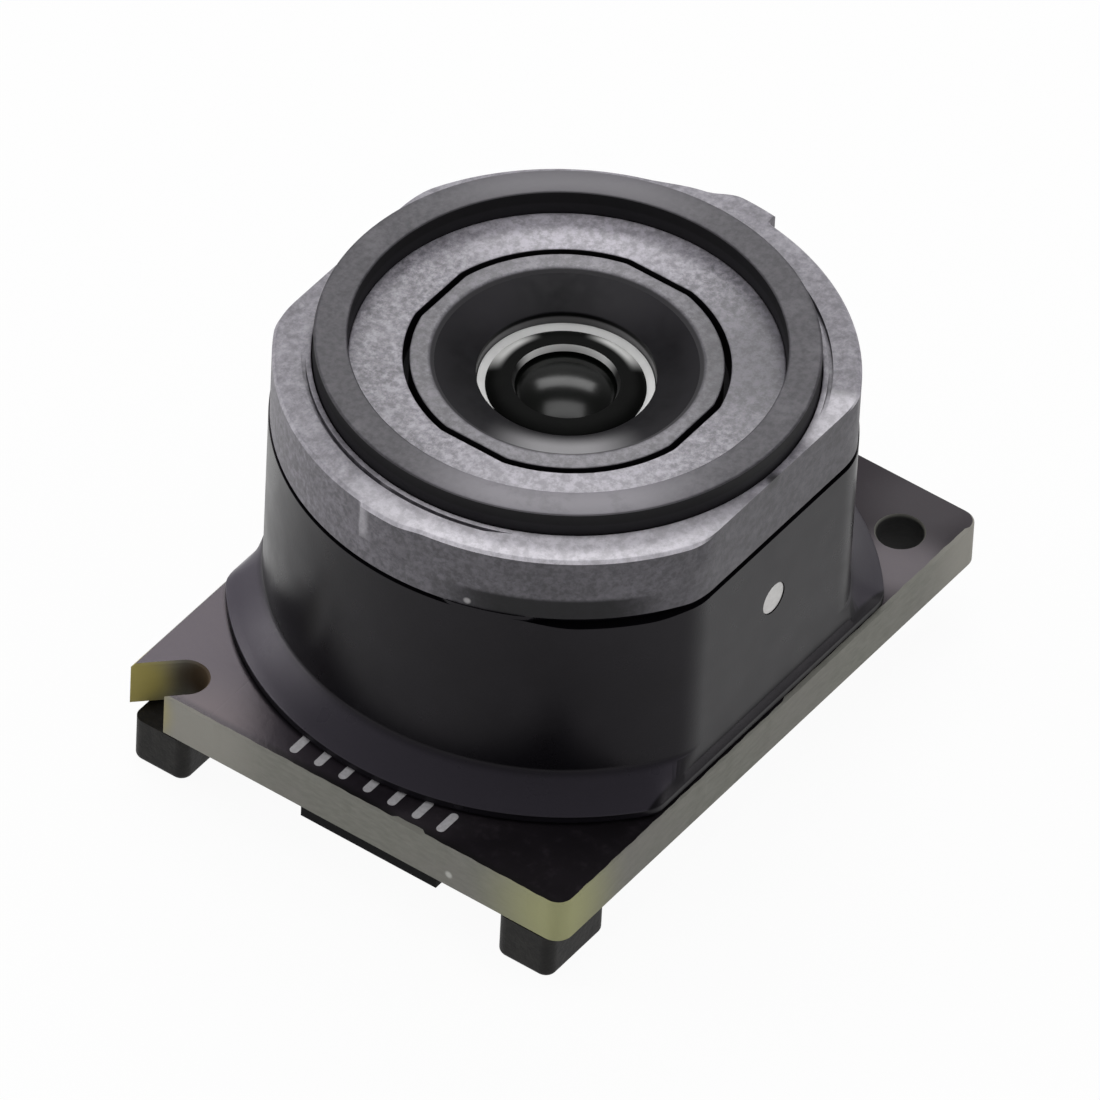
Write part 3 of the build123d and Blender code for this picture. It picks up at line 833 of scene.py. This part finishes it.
ADHESIVE = ((0.01, 0.01, 0.011), (0.02, 0.02, 0.021))
ROUGH_SPREAD = 0.15


def white_fill():
    f = Finish("white_fill", roughness=0.6)
    grain = f.noise(12.0, 3)
    return f.paint(f.mix(grain, *WHITE_FILL)).bump(grain, 0.004).material


def foot_black():
    f = Finish("foot_black", roughness=0.55, specular_ior_level=0.2)
    grain = f.noise(5.0, 5, 0.65)
    return f.paint(f.mix(f.ramp(grain, 0.35, 0.7), *FOOT_BLACK)).bump(grain, 0.015).material


def simple(name, colours, roughness, scale, depth, **sockets):
    """A plain moulded, plated or ceramic finish with fine grain of a given scale and depth."""
    f = Finish(name, **sockets)
    grain = f.noise(scale, 4)
    f.paint(f.mix(f.ramp(grain, 0.3, 0.7), *colours))
    f.rough(f.ramp(grain, 0.2, 0.8, roughness * (1 - ROUGH_SPREAD), min(roughness * (1 + ROUGH_SPREAD), 1)))
    return f.bump(grain, depth).material


def ragged(place):
    """Small uneven drift of the mask's edge along the board."""
    waves = [math.sin(rate * place + shift) for rate, shift in MASK_RIPPLES]
    return MASK_WAVE * sum(waves) / len(waves)


def pull_back(place, start, end, depth):
    """Extra bare margin along one stretch of an edge."""
    return depth * ease((place - start) / WEAR_FADE + 0.5) * ease((end - place) / WEAR_FADE + 0.5)


def straight(low, high):
    """Evenly spaced places between two ends, both left out."""
    count = int((high - low) / EDGE_STEP)
    return [low + (high - low) * i / count for i in range(1, count)]


def board_outline(inset, worn):
    """The board's outline from the right front corner round, with the open slot and a worn edge if asked."""
    x0, x1 = BOARD_MIN.x + inset, BOARD_MAX.x - inset
    y0, y1 = BOARD_MIN.y + inset, BOARD_MAX.y - inset
    r = BOARD_CORNER_R - inset
    slot = SLOT_HALF + inset
    side = slot * math.sqrt(0.5)
    along_end = SLOT_Y - side + (SLOT_X - side - x0)
    along_side = SLOT_X + side - (y1 - SLOT_Y - side)
    points = arc((x1 - r, y0 + r), r, -90, 0, CORNER_STEPS)
    points += arc((x1 - r, y1 - r), r, 0, 90, CORNER_STEPS)
    points += [(along_side, y1)]
    points += arc((SLOT_X, SLOT_Y), slot, SLOT_TURN, SLOT_TURN - 180, SLOT_STEPS)
    points += [(x0, along_end)]
    for y in reversed(straight(BOARD_MIN.y + BOARD_CORNER_R, SLOT_Y - SLOT_HALF)):
        points.append((x0 + worn * (pull_back(y, *END_NICK) + ragged(y)), y))
    points += arc((x0 + r, y0 + r), r, 180, 270, CORNER_STEPS)
    for x in straight(BOARD_MIN.x + BOARD_CORNER_R, BOARD_MAX.x - BOARD_CORNER_R):
        points.append((x, y0 + worn * (pull_back(x, *SIDE_WEAR) + ragged(x))))
    return points


def circuit_board():
    mask, edge = range(2)
    levels = [(BOARD_MIN.z, BOARD_EDGE), (BOARD_MIN.z + BOARD_EDGE, 0.0)]
    levels += [(BOARD_TOP - BOARD_EDGE, 0.0), (BOARD_TOP, MASK_PULL_BACK)]
    mesh = bmesh.new()
    rims, holes = [], []
    for z, inset in levels:
        rims.append(ring(mesh, at_height(board_outline(inset, z == BOARD_TOP), z)))
        holes.append(ring(mesh, at_height(circle((HOLE_X, HOLE_Y), HOLE_R + inset), z)))
    for rows in (rims, holes):
        for low, high in zip(rows, rows[1:]):
            for wall in bridge(mesh, low, high):
                wall.material_index = edge
    for level in (0, -1):
        edges = []
        for row in (rims[level], holes[level]):
            edges += [mesh.edges.get((row[i], row[(i + 1) % len(row)])) for i in range(len(row))]
        bmesh.ops.triangle_fill(mesh, edges=edges, use_beauty=True, use_dissolve=False)
    bmesh.ops.recalc_face_normals(mesh, faces=mesh.faces)
    finishes = {mask: solder_mask(), edge: laminate_edge()}
    return piece("board", mesh, finishes.values(), "laminate", "circuit_board")


def bar(mesh, outlines):
    """A closed bar between two rows of points."""
    low, high = [ring(mesh, outline) for outline in outlines]
    bridge(mesh, low, high)
    mesh.faces.new(low)
    mesh.faces.new(high)


def board_marks():
    """A plain row of printed bars along the board's end."""
    mesh = bmesh.new()
    r = MARK_WIDE / 2
    for i in range(MARK_COUNT):
        y = MARK_Y[0] + (MARK_Y[1] - MARK_Y[0]) * i / (MARK_COUNT - 1)
        outline = arc((MARK_X + MARK_LONG / 2, y), r, -90, 90, CORNER_STEPS)
        outline += arc((MARK_X - MARK_LONG / 2, y), r, 90, 270, CORNER_STEPS)
        bar(mesh, [at_height(outline, z) for z in (BOARD_TOP, BOARD_TOP + MARK_T)])
    bmesh.ops.recalc_face_normals(mesh, faces=mesh.faces)
    ink = simple("board_print", BOARD_PRINT, 0.6, 14.0, 0.002)
    return piece("board_marks", mesh, [ink], "white_fill")


def lens_holder():
    skirt_r, skirt_half, low = HOLDER_MAX.x, HOLDER_MAX.y, HOLDER_MIN.z
    foot_r = BODY_R + (skirt_r - BODY_R) * SKIRT_FOOT_SHARE
    foot_top = low + SKIRT_FOOT
    gap_low = BODY_TOP - GAP_TALL_OPEN
    section = rounded([
        (CHAMBER_R, low, 0), (skirt_r, low, 0), (skirt_r, low + SKIRT_LIP, SKIRT_LIP_ROUND),
        (foot_r, foot_top, 0), (BODY_R, BOARD_TOP + SKIRT_H, SKIRT_FILLET),
        (BODY_R, gap_low - TINY, 0), (BODY_R, gap_low + TINY, 0), (BODY_R, BODY_TOP, 0),
        (BORE_R, BODY_TOP, 0), (BORE_R, WEB_TOP, 0),
        (WEB_HALF, WEB_TOP, 0), (WEB_HALF, WEB_LOW, 0), (CHAMBER_R, WEB_LOW, 0)])

    def gap_depth(angle):
        share = 1 - both_sides(angle, GAP_CLOSED) + GAP_DEEPER * both_sides(angle, GAP_OPEN)
        return GAP_DEEP * share

    def gap_tall(angle):
        on_flat = (GAP_TALL_FLAT - GAP_TALL) * both_sides(angle, GAP_FLAT)
        opened = (GAP_TALL_OPEN - GAP_TALL) * both_sides(angle, GAP_OPEN)
        return min(GAP_TALL + on_flat + opened, GAP_TALL_OPEN)

    def shape(radius, height, angle):
        if radius <= WEB_HALF:
            return clipped(BORE_R, angle, WEB_HALF, WEB_HALF, WEB_BLEND), height
        if radius < BODY_R - TINY:
            return radius, height
        deep = gap_depth(angle) if height > gap_low else 0
        if abs(height - gap_low) < 2 * TINY:
            height += GAP_TALL_OPEN - gap_tall(angle)
        half = FLAT_HALF + (skirt_half - FLAT_HALF) * ease((foot_top - height) / SKIRT_FLAT_FADE)
        return clipped(radius - deep, angle, None, half - deep, FLAT_BLEND), height

    made = piece("holder", lathe(section, shape), [black_moulding()], "black_moulding", "lens_holder")
    return carve(made, new_object("vent_cutter", vent_bar(PLUG_MAX.x + VENT_PLAY, -BODY_R)))


def vent_bar(radius, outer_y):
    """A short round bar along Y, centred on the vent and starting at its inner end."""
    mesh = bmesh.new()
    outline = circle((0, (PLUG_MIN.z + PLUG_MAX.z) / 2), radius)
    bar(mesh, [[(x, y, z) for x, z in outline] for y in (PLUG_MAX.y, outer_y)])
    bmesh.ops.recalc_face_normals(mesh, faces=mesh.faces)
    return mesh


def carve(made, cutter):
    """Cuts the cutter's shape out of a piece for good."""
    modifier = made.modifiers.new("carve", "BOOLEAN")
    modifier.object = cutter
    modifier.operation = "DIFFERENCE"
    modifier.solver = "EXACT"
    bpy.context.view_layer.update()
    result = bpy.data.meshes.new_from_object(made.evaluated_get(bpy.context.evaluated_depsgraph_get()))
    made.modifiers.remove(modifier)
    made.data = result
    result.set_sharp_from_angle(angle=SMOOTH_ANGLE)
    bpy.data.objects.remove(cutter)
    return made


def holder_collar():
    low, top = BODY_TOP, COLLAR_TOP
    ledge = top - COLLAR_CHAMFER
    pad_low = ledge - LUG_TALL
    groove_out = TOP_GROOVE_R + TOP_GROOVE_W
    groove_low = top - TOP_GROOVE_DEEP
    section = rounded([
        (COLLAR_BORE_R, low, 0), (COLLAR_R, low, 0), (COLLAR_R, pad_low, 0),
        (COLLAR_R, pad_low + LUG_EDGE, 0), (COLLAR_R, ledge, 0),
        (COLLAR_R - COLLAR_CHAMFER, top, COLLAR_ROUND),
        (groove_out, top, 0), (groove_out, groove_low, 0), (TOP_GROOVE_R, groove_low, 0),
        (TOP_GROOVE_R, top, 0), (COLLAR_BORE_R, top, COLLAR_BORE_ROUND)])
    lug_end = math.degrees(math.asin(LUG_HALF / COLLAR_R))

    def lug_share(angle):
        off = (math.degrees(angle) + 90) % 180 - 90
        worn = LUG_WORN if math.cos(angle) < 0 else 1
        return worn * ease((lug_end + off) / LUG_SHARP) * ease((lug_end - off) / LUG_FADE)

    def groove_share(angle):
        return 1 - sum(window(angle, *sector) for sector in TOP_GROOVE_OFF)

    def shape(radius, height, angle):
        if radius > groove_out:
            reach = ease((height - pad_low) / LUG_EDGE)
            extra = BACK_CHAMFER * window(angle, *BACK_SECTOR)
            if height > ledge + TINY:
                radius -= extra
            elif height > ledge - LUG_EDGE:
                height -= extra
            radius += (LUG_R - COLLAR_R) * reach * lug_share(angle)
        elif low < height < top - TOP_GROOVE_DEEP / 2:
            height = top - TOP_GROOVE_DEEP * groove_share(angle)
        return max(clipped(radius, angle, None, FLAT_HALF, COLLAR_BLEND), COLLAR_BORE_R), height

    mesh = lathe(section, shape, COLLAR_STEPS)
    return piece("collar", mesh, [grey_moulding()], "grey_moulding", "holder_collar")


def lens_barrel():
    low, lip_low = BARREL_MIN.z, SHELF - MOUTH_LIP_T
    wall_r = RECESS_R - RECESS_STEP
    section = rounded([
        (STACK_R, low, 0), (SHANK_R, low, SHANK_ROUND), (SHANK_R, BODY_TOP, 0), (RIM_R, BODY_TOP, 0),
        (RIM_R, RIM_TOP, RIM_ROUND), (RECESS_R, RIM_TOP, RECESS_ROUND), (RECESS_R, RECESS_STEP_LOW, 0),
        (wall_r, RECESS_STEP_LOW - RECESS_STEP_TALL, 0), (wall_r, SHELF, 0),
        (MOUTH_OPENING_R, SHELF, 0), (MOUTH_OPENING_R, lip_low, 0), (STACK_R, lip_low, 0)])
    return piece("barrel", lathe(section), [barrel_black()], "barrel_black", "lens_barrel")


def front_ring():
    def shape(radius, height, angle):
        if radius > KEYED_R + KEYED_WIDE:
            return radius, height
        return keyed(radius, angle, KEYED_R, KEYED_FLAT), height

    section = rounded([
        (KEYED_R, SHELF, 0), (FRONT_MAX.x, SHELF, 0),
        (FRONT_MAX.x, FRONT_TOP, FRONT_ROUND), (KEYED_R, FRONT_TOP, KEYED_ROUND)])
    finish = blasted_grey("blasted_grey", *BLASTED_RING)
    return piece("front_face", lathe(section, shape), [finish], "blasted_grey", "front_ring")


def lip_ring():
    inner = CONE_MAX.x + TINY

    def shape(radius, height, angle):
        if radius < LIP_OUT_R - LIP_KEYED_WIDE:
            return radius, height
        return keyed(radius, angle, LIP_OUT_R, LIP_OUT_FLAT), height

    section = rounded([
        (inner, SHELF, 0), (LIP_OUT_R, SHELF, 0), (LIP_OUT_R, FRONT_TOP, KEYED_ROUND),
        (LIP_FLAT_R, FRONT_TOP, LIP_FLAT_ROUND), (inner, FRONT_TOP - LIP_ROLL, 0)])
    finish = blasted_grey("blasted_lip", *BLASTED_LIP)
    return piece("lip", lathe(section, shape), [finish], "blasted_grey", "lip_ring")


def hood_cone():
    top_r, top = CONE_MAX.x, FRONT_TOP - LIP_ROLL
    section = rounded([
        (CONE_LOW_R, SHELF, 0), (top_r, SHELF, 0), (top_r, top, 0),
        (CONE_LOW_R, FRONT_TOP - CONE_DEEP, CONE_ROUND)])
    return piece("hood", lathe(section), [cone_black()], "cone_black", "hood_cone")


def dome(radius, edge_z, rise):
    """Section points of a shallow dome from its edge to the axis."""
    spread = [radius * (1 - i / DOME_STEPS) for i in range(DOME_STEPS + 1)]
    return [(r, edge_z + rise * (1 - (r / radius) ** 2)) for r in spread]


def flank():
    """Section points of the steep, slightly bulging side of the front glass."""
    points = []
    for i in range(DOME_STEPS + 1):
        t = i / DOME_STEPS
        bulge = FLANK_BULGE * 4 * t * (1 - t)
        radius = FLANK_LOW_R + (FLANK_TOP_R - FLANK_LOW_R) * t + bulge
        points.append((radius, FLANK_LOW + (FLANK_TOP - FLANK_LOW) * t + bulge))
    return points


def front_glass():
    clear, bright, black = range(3)
    low, flange_r = GLASS_MIN.z, GLASS_MAX.x
    flange_top = SHELF - MOUTH_LIP_T
    ring_top = FLANK_LOW + FLANGE_RISE
    dome_r = RING_LOW_R - 2 * TINY
    section = [(0, low), (flange_r, low), (flange_r, flange_top), (DOME_R, flange_top), (DOME_R, ring_top)]
    section += flank()
    section += [(RING_EDGE_R, FLANK_TOP), (RING_LOW_R, FLANK_TOP - RING_DROP)]
    section += dome(dome_r, FLANK_TOP - DOME_DROP, DOME_RISE)
    mesh = lathe(section, steps=GLASS_STEPS)
    for face in mesh.faces:
        centre = face.calc_center_median() / MM
        radius = math.hypot(centre.x, centre.y)
        on_ring = FLANK_LOW_R < radius < DOME_R - TINY and FLANK_LOW < centre.z < ring_top
        if on_ring or RING_LOW_R < radius < RING_EDGE_R:
            face.material_index = bright
        elif radius > dome_r or centre.z < flange_top - TINY:
            face.material_index = black
    finishes = {clear: coated_glass(), bright: bright_ring(), black: lens_black()}
    return piece("front_glass", mesh, finishes.values(), "coated_glass", "lens_element_1")


def vent_plug():
    return piece("vent_dot", vent_bar(PLUG_MAX.x, PLUG_MIN.y), [white_fill()], "white_fill", "vent_plug")


def plain_nodes():
    """Finishes for the CAD pieces whose own shape is shown."""
    chip = simple("chip_black", CHIP_BLACK, 0.6, 9.0, 0.006, specular_ior_level=0.05)
    solder = simple("solder", SOLDER, 0.3, 8.0, 0.004, metallic=1.0)
    gold = simple("contact_gold", CONTACT_GOLD, 0.28, 8.0, 0.003, metallic=1.0)
    plug = simple("connector_plastic", CONNECTOR, 0.45, 6.0, 0.004)
    ceramic = simple("capacitor_ceramic", CERAMIC, 0.5, 10.0, 0.003)
    silicon = simple("silicon", SILICON, 0.2, 2.0, 0.001)
    metal = simple("blackened_metal", BLACKENED, 0.45, 6.0, 0.002)
    tinted = simple("filter_glass", FILTER_GLASS, 0.08, 1.0, 0.0005, transmission_weight=0.8)
    lens = simple("lens_glass", LENS_GLASS, 0.04, 1.0, 0.0005, transmission_weight=1.0, ior=1.5)
    adhesive = simple("adhesive", ADHESIVE, 0.5, 5.0, 0.006)
    finished = (
        (foot_black(), FEET),
        (chip, ("driver_chip", "memory_chip")),
        (solder, ("driver_terminals", "memory_leads", "capacitor_terminals")),
        (solder, ("sensor_solder_balls", "connector_anchors")),
        (gold, ("connector_contacts",)),
        (plug, ("connector_housing",)),
        (ceramic, ("underside_capacitors", "chamber_capacitors")),
        (silicon, ("image_sensor",)),
        (tinted, ("sensor_cover_glass", "ir_filter")),
        (adhesive, ("holder_adhesive",)),
        (lens, ("lens_element_2", "lens_element_3", "lens_element_4")),
        (metal, ("aperture_stop", "rear_retainer", "spacer_ring_1", "spacer_ring_2", "spacer_ring_3")),
    )
    for finish, nodes in finished:
        for node in nodes:
            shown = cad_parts[node]
            shown.data.materials.clear()
            shown.data.materials.append(finish)
    for node in FEET:
        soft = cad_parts[node].modifiers.new("soft_edges", "BEVEL")
        soft.width = FOOT_EDGE * MM
        soft.segments = FOOT_EDGE_STEPS


# Camera: a long lens from the board's left front side, slightly rolled
VIEW_AZIMUTH = math.radians(-55.954)
VIEW_ELEVATION = math.radians(43.282)
VIEW_ROLL = math.radians(3.022)
PIVOT_H = 4.72
DISTANCE = 293.3
PX_PER_MM = 63.107
IMAGE_PX = 1100
PIVOT_PX = Vector((562.04, 457.4))
SENSOR_W = 36.0
CLIP_START = 0.01
CLIP_END = 20


def add_camera():
    flat = math.cos(VIEW_ELEVATION)
    back = Vector((math.sin(VIEW_AZIMUTH) * flat, -math.cos(VIEW_AZIMUTH) * flat, math.sin(VIEW_ELEVATION)))
    level = Vector((math.cos(VIEW_AZIMUTH), math.sin(VIEW_AZIMUTH), 0))
    tall = back.cross(level)
    right = math.cos(VIEW_ROLL) * level + math.sin(VIEW_ROLL) * tall
    up = math.cos(VIEW_ROLL) * tall - math.sin(VIEW_ROLL) * level
    off = (PIVOT_PX - Vector((IMAGE_PX, IMAGE_PX)) / 2) / PX_PER_MM
    target = Vector((0, 0, PIVOT_H)) - right * off.x + up * off.y
    data = bpy.data.cameras.new("camera")
    data.sensor_width = SENSOR_W
    data.lens = PX_PER_MM * DISTANCE / IMAGE_PX * SENSOR_W
    data.clip_start = CLIP_START
    data.clip_end = CLIP_END
    camera = bpy.data.objects.new("camera", data)
    turn = Matrix((right, up, back)).transposed().to_4x4()
    camera.matrix_world = Matrix.Translation((target + back * DISTANCE) * MM) @ turn
    bpy.context.scene.collection.objects.link(camera)
    bpy.context.scene.camera = camera


# Studio: lamps by compass angles in degrees, sizes and distance in metres
LAMP_DISTANCE = 0.3
LAMPS = {
    "back_strip": dict(azimuth=34, elevation=45, width=0.22, height=0.075, radiance=6.0),
    "overhead": dict(azimuth=34, elevation=80, width=0.18, height=0.09, radiance=4.5),
    "left_box": dict(azimuth=108, elevation=19, width=0.16, height=0.12, radiance=5.0),
    "right_box": dict(azimuth=311, elevation=24, width=0.14, height=0.1, radiance=3.0),
}
HORIZON_GLOW = 0.85
ZENITH_GLOW = 0.2
ZENITH_FROM = 0.7
FLOOR_HALF = 1.5
FLOOR_GREY = (0.85, 0.85, 0.85, 1)
FLOOR_WHITE = 0.95


def softbox(name, azimuth, elevation, width, height, radiance):
    """A rectangular lamp that faces the object."""
    data = bpy.data.lights.new(name, "AREA")
    data.shape = "RECTANGLE"
    data.size, data.size_y = width, height
    data.energy = radiance * math.pi * width * height
    lamp = bpy.data.objects.new(name, data)
    a, e = math.radians(azimuth), math.radians(elevation)
    towards = Vector((math.cos(a) * math.cos(e), math.sin(a) * math.cos(e), math.sin(e)))
    turn = towards.to_track_quat("Z", "Y").to_matrix().to_4x4()
    lamp.matrix_world = Matrix.Translation(towards * LAMP_DISTANCE) @ turn
    bpy.context.scene.collection.objects.link(lamp)


def add_world():
    """A studio that is pale near the ground and dimmer overhead."""
    world = bpy.data.worlds.new("studio")
    bpy.context.scene.world = world
    world.use_nodes = True
    tree = world.node_tree
    base = tree.nodes["Background"]
    base.inputs["Color"].default_value = (1, 1, 1, 1)
    coords = tree.nodes.new("ShaderNodeTexCoord")
    split = tree.nodes.new("ShaderNodeSeparateXYZ")
    ramp = tree.nodes.new("ShaderNodeMapRange")
    set_range(ramp, 0.0, ZENITH_FROM, HORIZON_GLOW, ZENITH_GLOW)
    tree.links.new(coords.outputs["Generated"], split.inputs["Vector"])
    tree.links.new(split.outputs["Z"], ramp.inputs["Value"])
    tree.links.new(ramp.outputs["Result"], base.inputs["Strength"])


def seen_directly(tree):
    """1 for camera, mirror and see-through rays."""
    path = tree.nodes.new("ShaderNodeLightPath")
    total = path.outputs["Is Camera Ray"]
    for name in ("Is Glossy Ray", "Is Transmission Ray"):
        add = tree.nodes.new("ShaderNodeMath")
        add.operation = "MAXIMUM"
        tree.links.new(total, add.inputs[0])
        tree.links.new(path.outputs[name], add.inputs[1])
        total = add.outputs["Value"]
    return total


def floor_paper():
    """Pale paper that takes the shadow and looks nearly white when seen directly."""
    material = bpy.data.materials.new("floor_paper")
    material.use_nodes = True
    tree = material.node_tree
    shader = tree.nodes["Principled BSDF"]
    shader.inputs["Base Color"].default_value = FLOOR_GREY
    shader.inputs["Roughness"].default_value = 1.0
    shader.inputs["Specular IOR Level"].default_value = 0.0
    glow = tree.nodes.new("ShaderNodeEmission")
    glow.inputs["Strength"].default_value = 1.0
    faint = tree.nodes.new("ShaderNodeMath")
    faint.operation = "MULTIPLY"
    faint.inputs[1].default_value = FLOOR_WHITE
    mix = tree.nodes.new("ShaderNodeMixShader")
    tree.links.new(seen_directly(tree), faint.inputs[0])
    tree.links.new(faint.outputs["Value"], mix.inputs["Fac"])
    tree.links.new(shader.outputs["BSDF"], mix.inputs[1])
    tree.links.new(glow.outputs["Emission"], mix.inputs[2])
    tree.links.new(mix.outputs["Shader"], tree.nodes["Material Output"].inputs["Surface"])
    return material


def add_floor():
    data = bpy.data.meshes.new("floor")
    corners = [(x * FLOOR_HALF, y * FLOOR_HALF, 0) for x, y in ((-1, -1), (1, -1), (1, 1), (-1, 1))]
    data.from_pydata(corners, [], [(0, 1, 2, 3)])
    data.materials.append(floor_paper())
    floor = bpy.data.objects.new("floor", data)
    bpy.context.scene.collection.objects.link(floor)


for build in (circuit_board, board_marks, lens_holder, holder_collar, lens_barrel, front_ring, lip_ring,
              hood_cone, front_glass, vent_plug, plain_nodes):
    build()

add_camera()
add_floor()
add_world()
for lamp_name, lamp_values in LAMPS.items():
    softbox(lamp_name, **lamp_values)
bpy.context.scene.view_settings.view_transform = "Standard"
